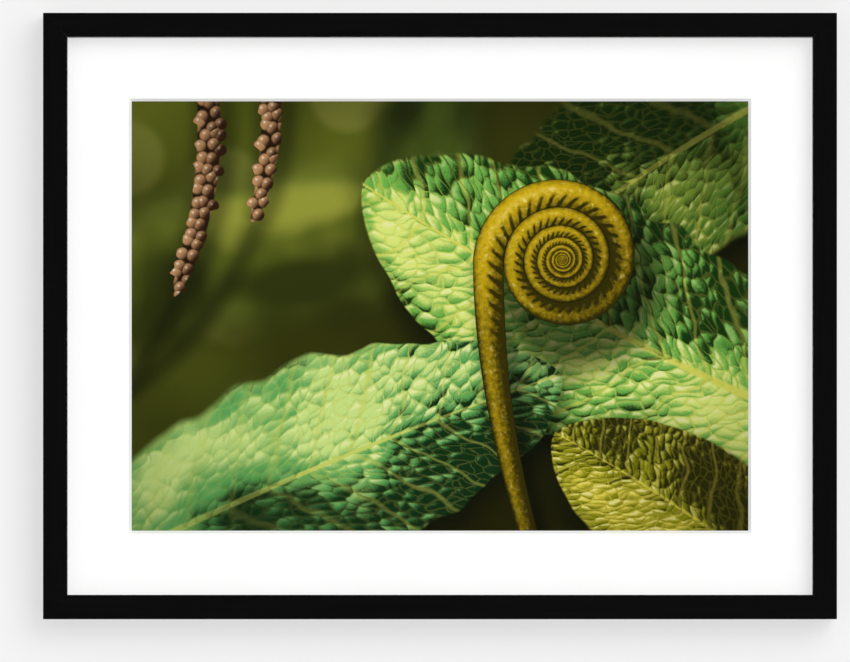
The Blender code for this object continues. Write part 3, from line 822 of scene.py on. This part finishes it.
tabs = {"thick": 0.5 * mm, "width": 7 * mm, "driven": 5.5 * mm, "shown": 11.5 * mm, "hole": 1.3 * mm,
        "spacing": 140 * mm, "onLong": 4, "onShort": 3, "lift": 0.35 * mm, "burr": 0.07 * mm,
        "bendPoints": (0.0, 2 * mm, 4 * mm, 6 * mm), "endSteps": 14, "holeSteps": 20}


def tabShape():
    # flat in the wood, with a round free end that has a hole and lifts a little off the board
    half, tip = tabs["width"] / 2, -tabs["driven"]
    endMiddle = tabs["shown"] - half
    outline = [(tip + half, half), (tip, half / 3), (tip, -half / 3), (tip + half, -half)]
    outline += [(x, -half) for x in tabs["bendPoints"]]
    for i in range(tabs["endSteps"] + 1):
        angle = math.radians(-90 + 180 * i / tabs["endSteps"])
        outline.append((endMiddle + half * math.cos(angle), half * math.sin(angle)))
    outline += [(x, half) for x in reversed(tabs["bendPoints"])]
    hole = [(endMiddle + tabs["hole"] * math.cos(angle), tabs["hole"] * math.sin(angle))
            for angle in (2 * math.pi * i / tabs["holeSteps"] for i in range(tabs["holeSteps"]))]
    shape = bmesh.new()
    for ring in (outline, hole):
        ringOf(shape, [(x, 0, z) for x, z in ring])
    bmesh.ops.triangle_fill(shape, use_beauty=True, edges=shape.edges)
    bmesh.ops.subdivide_edges(shape, edges=[edge for edge in shape.edges if not edge.is_boundary], cuts=1)
    for vertex in shape.verts:
        vertex.co.y = tabs["lift"] * (max(0.0, vertex.co.x) / tabs["shown"]) ** 2
    item = meshObject("tabItem", shape)
    addModifier(item, "SOLIDIFY", thickness=tabs["thick"], offset=0)
    return crispEdges(softenEdges(item, tabs["burr"]), 40)


def tabPlaces():
    spots = []
    low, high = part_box("tab_top_1")
    for degrees, place, length in railPlaces.values():
        count = tabs["onLong"] if length == wholeWidth else tabs["onShort"]
        for i in range(count):
            spot = placeMatrix(degrees, place) @ Vector((stem, 0, (i - (count - 1) / 2) * tabs["spacing"]))
            spots.append((degrees, (spot.x, (low.y + high.y) / 2, spot.z)))
    return spots


hangerPlate = {"length": 48 * mm, "height": 9.5 * mm, "sheet": 1 * mm, "raise": 1.6 * mm, "flatEnd": 8 * mm,
               "slope": 2.2 * mm, "pitch": 3.6 * mm, "notches": 7, "notchDepth": 2 * mm, "toothTip": 0.93,
               "corner": 1.2 * mm, "rib": 0.25 * mm, "ribAt": 2.2 * mm, "ribWidth": 0.9 * mm,
               "columns": 481, "rows": 8, "burr": 0.09 * mm}


def hangerShape():
    size = hangerPlate
    half, tall, corner = size["length"] / 2, size["height"] / 2, size["corner"]
    low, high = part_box("hanger")
    shape = bmesh.new()
    columns = []
    for i in range(size["columns"]):
        x = -half + 2 * half * i / (size["columns"] - 1)
        fromEnd = half - abs(x)
        inset = corner - math.sqrt(max(0.0, corner ** 2 - max(0.0, corner - fromEnd) ** 2))
        bottom = -tall + inset
        if abs(x) < size["notches"] * size["pitch"] / 2:
            phase = abs((x / size["pitch"] + 0.5) % 1 - 0.5) * 2  # 0 in a notch's middle, 1 at a tooth
            bottom = -tall + size["notchDepth"] * (1 - min(1.0, phase / size["toothTip"]))
        share = min(1.0, max(0.0, (fromEnd - size["flatEnd"]) / size["slope"]))
        lift = size["sheet"] / 2 + size["raise"] * share * share * (3 - 2 * share)
        column = []
        for j in range(size["rows"] + 1):
            z = bottom + (tall - inset - bottom) * j / size["rows"]
            rib = size["rib"] * share * math.exp(-((z - size["ribAt"]) / size["ribWidth"]) ** 2)
            column.append(shape.verts.new((x, low.y + lift + rib, (low.z + high.z) / 2 + z)))
        columns.append(column)
    for a, b in zip(columns, columns[1:]):
        for j in range(size["rows"]):
            shape.faces.new((a[j], b[j], b[j + 1], a[j + 1]))
    piece = outwardObject("sawtoothHanger", shape)
    addModifier(piece, "SOLIDIFY", thickness=size["sheet"], offset=0)
    return crispEdges(softenEdges(piece, size["burr"], degrees=50), 40)


screws = {"head": 2.6 * mm, "headHeight": 1.4 * mm, "dome": 0.58, "rim": 0.12 * mm, "shank": 1.2 * mm,
          "long": 12 * mm, "slot": 3.1 * mm, "slotWidth": 0.62 * mm, "slotDepth": 0.8 * mm, "slotTaper": 0.62,
          "headSteps": 9, "sides": 40, "burr": 0.05 * mm, "turns": {"left": 17, "right": 64}}


def screwShape():
    # turned about Y: the head towards the wall, the shank into the wood
    head, high, shank = screws["head"], screws["headHeight"], screws["shank"]
    outline = [(0.0, high)]
    for i in range(1, screws["headSteps"] + 1):
        angle = math.radians(90 * i / screws["headSteps"])
        outline.append((head * math.sin(angle), high * (1 - screws["dome"] * (1 - math.cos(angle)))))
    outline += [(head, screws["rim"]), (head - screws["rim"], 0), (shank, 0),
                (shank, 2 * shank - screws["long"]), (0.0, -screws["long"])]
    item = outwardObject("screwItem", turnedShape(outline, screws["sides"]))
    cross = bpy.data.collections.new("crossSlots")
    for wide, narrow in ((screws["slot"], screws["slotWidth"]), (screws["slotWidth"], screws["slot"])):
        shape = boxShape((wide, 2 * screws["slotDepth"], narrow), (0, high, 0))
        for vertex in shape.verts:
            if vertex.co.y < high:  # the recess narrows as it goes in
                vertex.co.x *= screws["slotTaper"]
                vertex.co.z *= screws["slotTaper"]
        cross.objects.link(meshObject("crossSlot", shape))
    addModifier(item, "BOOLEAN", operand_type="COLLECTION", collection=cross, solver="EXACT")
    settle(item)
    for cutter in list(cross.objects):
        dropObject(cutter)
    return crispEdges(softenEdges(item, screws["burr"], 1, 50), 35)


pads = {"radius": 5.5 * mm, "thick": 3 * mm, "rounding": 0.7 * mm, "rings": 6, "sides": 56, "edge": 0.1 * mm,
        "unround": 0.012, "hairs": 900, "hairLength": 0.7 * mm, "hairWidth": 0.035 * mm,
        "hairSway": (1.1, 1.1, 3.1), "feltArea": 280 * mm * mm, "seeds": {"Left": 5, "Right": 9}}


def padShape(name, middle, seed):
    radius, thick, rounding = pads["radius"], pads["thick"], pads["rounding"]
    outline = [(0.0, 0.0), (radius * 0.5, 0.0), (radius - pads["edge"], 0.0), (radius, pads["edge"])]
    for i in range(pads["rings"] + 1):
        angle = math.radians(90 * i / pads["rings"])
        outline.append((radius - rounding * (1 - math.cos(angle)), thick - rounding * (1 - math.sin(angle))))
    outline += [(radius * 0.45, thick), (0.0, thick)]
    shape = turnedShape(outline, pads["sides"])
    wobble = random.Random(seed)
    for vertex in shape.verts:
        if 0.2 * mm < vertex.co.y < thick - 0.05 * mm:  # punched felt is never quite round
            vertex.co.x *= 1 - pads["unround"] * wobble.random()
            vertex.co.z *= 1 - pads["unround"] * wobble.random()
    bmesh.ops.translate(shape, vec=middle, verts=shape.verts)
    return outwardObject(name, shape)


def fuzzTree():
    tree, given, result = nodeGroup("feltFuzz", "Geometry", {
        "Geometry": ["Geometry"], "Int": ["Hairs", "Seed"], "Float": ["Hair Length", "Hair Width"],
        "Vector": ["Sway"], "Material": ["Finish"]}, "Geometry")
    scatter = addNode(tree, "GeometryNodeDistributePointsOnFaces", Mesh=given["Geometry"], Seed=given["Seed"],
                      Density=given["Hairs"] / pads["feltArea"])
    hair = outOf(tree, "GeometryNodeMeshCone", output="Mesh", Vertices=3, Side_Segments=1, Radius_Top=0.0,
                 Radius_Bottom=given["Hair Width"], Depth=given["Hair Length"])
    sway = addNode(tree, "FunctionNodeRandomValue", {"data_type": "FLOAT_VECTOR"}, Seed=given["Seed"])
    wire(sway.inputs[0], -given["Sway"])
    wire(sway.inputs[1], given["Sway"])
    turned = outOf(tree, "FunctionNodeRotateRotation", {"rotation_space": "LOCAL"},
                   Rotation=Field(scatter.outputs["Rotation"]), Rotate_By=Field(sway.outputs[0]))
    copies = outOf(tree, "GeometryNodeInstanceOnPoints", Points=Field(scatter.outputs["Points"]),
                   Instance=hair, Rotation=turned)
    return endTree(tree, result, joinShapes(tree, copies, given["Geometry"]), given["Finish"])


windowMat = {"window": (494 * mm, 344 * mm), "paper": 0.06 * mm, "paperDrop": 0.03 * mm}


def matShape():
    # the back, the outer edge, the face paper, the paper's cut edge and a 45 degree slope of cut core
    low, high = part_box("window_mat")
    thick, paperEdge = high.y - low.y, windowMat["paper"]
    outerX, outerZ = (high.x - low.x) / 2, (high.z - low.z) / 2
    innerX, innerZ = windowMat["window"][0] / 2, windowMat["window"][1] / 2
    levels = [(outerX, outerZ, high.y), (outerX, outerZ, low.y),
              (innerX + thick + paperEdge, innerZ + thick + paperEdge, low.y),
              (innerX + thick, innerZ + thick, low.y + windowMat["paperDrop"]), (innerX, innerZ, high.y)]
    shape = bmesh.new()
    sides = ((-1, -1), (1, -1), (1, 1), (-1, 1))
    rings = [[shape.verts.new((right * x, y, middleZ + up * z)) for right, up in sides] for x, z, y in levels]
    for index, (a, b) in enumerate(zip(rings, rings[1:] + rings[:1])):
        for i in range(4):
            face = shape.faces.new((a[i], a[(i + 1) % 4], b[(i + 1) % 4], b[i]))
            face.material_index = 1 if index == 3 else 0
    return outwardObject("bevelCutMat", shape)


# each side's patch of the print's own map: the axes across and up it, its corner and its size
printMap = {(0, -1, 0): (0, 2, (0.01, 0.06), (0.98, 0.93)),  # the printed side takes nearly the whole square
            (0, 1, 0): (0, 2, (0.01, 0.005), (0.04, 0.04)),
            (-1, 0, 0): (1, 2, (0.07, 0.005), (0.02, 0.04)), (1, 0, 0): (1, 2, (0.1, 0.005), (0.02, 0.04)),
            (0, 0, -1): (0, 1, (0.15, 0.005), (0.4, 0.015)), (0, 0, 1): (0, 1, (0.15, 0.03), (0.4, 0.015))}


def printShape():
    low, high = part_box("print_sheet")
    shape = boxShape(high - low, (high + low) / 2)
    bmesh.ops.recalc_face_normals(shape, faces=shape.faces)
    layer = shape.loops.layers.uv.new("OFBake")
    for face in shape.faces:
        *axes, corner, size = printMap[tuple(round(part) for part in face.normal)]
        for loop in face.loops:
            shares = [(loop.vert.co[axis] - low[axis]) / (high[axis] - low[axis]) for axis in axes]
            loop[layer].uv = [start + reach * share for start, reach, share in zip(corner, size, shares)]
    return meshObject("printedSheet", shape)


woodFinish = lacqueredWood()
steelFinish = zincSteel()
feltFinish = pressedFelt()
print("finishes made")

copyTree = scatterTree()
nailSpots = nailPlaces()
nailSlots = copyToSpots("nailSlots", nailShape("slotItem", cornerNails["slotRoom"]), nailSpots, woodFinish)
sweepTree = mouldingTree()
section = sectionMesh()
for number, (node, (degrees, place, length)) in enumerate(railPlaces.items()):
    rail = bpy.data.objects.new("mitredRail" + node.replace("rail_", "").capitalize(), section.data.copy())
    bpy.context.scene.collection.objects.link(rail)
    runTree(rail, sweepTree, {
        "Length": length, "Joint Gap": moulding["jointGap"], "Arc Steps": moulding["arcSteps"],
        "Turn": math.radians(degrees), "Place": place, "Finish": woodFinish})
    addModifier(rail, "BOOLEAN", object=nailSlots, solver="EXACT")
    crispEdges(inOrder(settle(rail)), 35)
    inward = placeMatrix(degrees, place).inverted()
    stored = rail.data.attributes.new(lacquer["attribute"], "FLOAT_VECTOR", "POINT")
    for vertex, item in zip(rail.data.vertices, stored.data):
        own = inward @ vertex.co
        item.vector = (own.x, own.y, own.z + lacquer["nextStick"] * number)
    rail.data.materials.clear()
    rail.data.materials.append(woodFinish)
    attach(rail, "root")
    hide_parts(node)
dropObject(section)
dropObject(nailSlots)
print("rails made: %d faces in the last" % len(rail.data.polygons))

nails = copyToSpots("mitreNails", nailShape("nailItem"), nailSpots, steelFinish)
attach(nails, "root")
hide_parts(*[n for n in frame["nodes"] if n.startswith("corner_nail")])

rabbetTabs = copyToSpots("rabbetTabs", tabShape(), tabPlaces(), steelFinish)
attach(rabbetTabs, "root")
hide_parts(*[n for n in frame["nodes"] if n.startswith("tab_")])

hanger = hangerShape()
hanger.data.materials.append(steelFinish)
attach(hanger, "root")
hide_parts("hanger")

screwSpots = []
for side, degrees in screws["turns"].items():
    low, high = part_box("hanger_screw_" + side)
    screwSpots.append((degrees, ((low.x + high.x) / 2, high.y - screws["headHeight"], (low.z + high.z) / 2)))
hangerScrews = copyToSpots("hangerScrews", screwShape(), screwSpots, steelFinish)
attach(hangerScrews, "root")
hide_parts("hanger_screw_left", "hanger_screw_right")
print("tabs, nails, hanger and screws made")

padFuzz = fuzzTree()
for side, seed in pads["seeds"].items():
    low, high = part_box("wall_pad_" + side.lower())
    pad = padShape("feltPad" + side, Vector(((low.x + high.x) / 2, low.y, (low.z + high.z) / 2)), seed)
    runTree(pad, padFuzz, {
        "Hairs": pads["hairs"], "Hair Length": pads["hairLength"], "Hair Width": pads["hairWidth"],
        "Sway": pads["hairSway"], "Seed": seed, "Finish": feltFinish})
    crispEdges(pad, 60)
    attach(pad, "root")
    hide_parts("wall_pad_" + side.lower())
print("felt pads made")

mat = matShape()
for name in ("matFacePaper", "matCore"):
    mat.data.materials.append(matPaper(name))
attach(mat, "root")
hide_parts("window_mat")

printed = printShape()
printed.data.materials.append(printedDesign())
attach(printed, "root")
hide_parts("print_sheet")

for node, finish in (("glazing", clearAcrylic()), ("mount_board", foamBoard()), ("back_board", hardboard())):
    for place in frame["nodes"][node].material_slots:
        place.material = finish
print("mat, print, glazing and boards made")


room = {"wallWidth": 9.0, "wallHeight": 6.0, "floorBelow": 1.5, "floorReach": 5.0, "wallGap": 0.4 * mm,
        "wallColor": (0.826, 0.826, 0.826), "floorColor": (0.62, 0.62, 0.61), "roller": 500,
        "texture": 0.02 * mm}


def roomPlane(name, finish, color, corners):
    shape = bmesh.new()
    shape.faces.new([shape.verts.new(corner) for corner in corners])
    plane = meshObject(name, shape)
    # seen from the front or above; clear from the other side, and to the light that comes from there
    made, place = newMaterial(finish)
    behind = outOf(made.node_tree, "ShaderNodeNewGeometry", output="Backfacing")
    seeThrough(made, calc("MAXIMUM", behind, rayIs(made, "Is Shadow Ray")))
    roller = noise(place, room["roller"], 3.0)
    paint(made, Base_Color=color, Roughness=0.95, Specular_IOR_Level=0.0,
          Normal=bump(roller, room["texture"]))
    plane.data.materials.append(made)
    return plane


halfWall, floorReach = room["wallWidth"] / 2, room["floorReach"]
floorZ = bottomZ - room["floorBelow"]
ceilingZ = floorZ + room["wallHeight"]
wall = roomPlane("roomWall", "paleWallPaint", room["wallColor"], [(x, room["wallGap"], z) for x, z in (
    (-halfWall, floorZ), (halfWall, floorZ), (halfWall, ceilingZ), (-halfWall, ceilingZ))])
floor = roomPlane("roomFloor", "paleFloor", room["floorColor"], [(x, y, floorZ) for x, y in (
    (-halfWall, -floorReach), (halfWall, -floorReach), (halfWall, floorReach), (-halfWall, floorReach))])
floor.visible_diffuse = False  # its bounce would shade the wall above the frame

# where each light comes from, its spread in degrees, its strength, and whether reflections show it
lights = {"frontLight": ((0.0, -1, 0.026), 1.7, 2.2, False),  # it would show in the glazing as a bright disc
          "upperRightKey": ((0.67, -1, 0.67), 46.5, 0.77, True),
          "backLeftLight": ((-0.7, 1, 0.5), 30, 1.9, True),
          "backRightLight": ((0.8, 0.7, 0.3), 20, 1.0, True)}
for name, (source, spread, strength, glossy) in lights.items():
    sun = bpy.data.lights.new(name, "SUN")
    sun.energy = strength
    sun.angle = math.radians(spread)
    lamp = bpy.data.objects.new(name, sun)
    lamp.rotation_euler = (-Vector(source)).to_track_quat("-Z", "Y").to_euler()
    lamp.visible_glossy = glossy
    lamp.visible_transmission = glossy
    bpy.context.scene.collection.objects.link(lamp)

airLight = {"around": 0.24, "seen": 0.85}
world = bpy.data.worlds.new("studioAir")
world.use_nodes = True
background = world.node_tree.nodes["Background"].inputs
wire(background["Color"], (1, 1, 1))
wire(background["Strength"], fade(outOf(world.node_tree, "ShaderNodeLightPath", output="Is Camera Ray"),
                                  0.0, 1.0, airLight["around"], airLight["seen"]))
bpy.context.scene.world = world
bpy.context.scene.view_settings.view_transform = "Standard"

# the frame is 794 pixels wide in the photo, and its middle lies at pixel (440, 316)
lens = {"distance": 8.0, "sensor": 36, "nearest": 0.01, "pixels": (850, 662), "frameAcross": 794.0,
        "objectMiddle": (440.0, 316.0)}
metresPerPixel = wholeWidth / lens["frameAcross"]
view = bpy.data.cameras.new("photoCamera")
view.sensor_width = lens["sensor"]
view.lens = lens["sensor"] * lens["distance"] / (metresPerPixel * lens["pixels"][0])
view.clip_start = lens["nearest"]
camera = bpy.data.objects.new("photoCamera", view)
aside = (lens["objectMiddle"][0] - lens["pixels"][0] / 2) * metresPerPixel
above = (lens["pixels"][1] / 2 - lens["objectMiddle"][1]) * metresPerPixel
camera.location = (-aside, frontY - lens["distance"], middleZ - above)
camera.rotation_euler = (math.radians(90), 0, 0)
bpy.context.scene.collection.objects.link(camera)
bpy.context.scene.camera = camera
print("stage, lights and camera set")
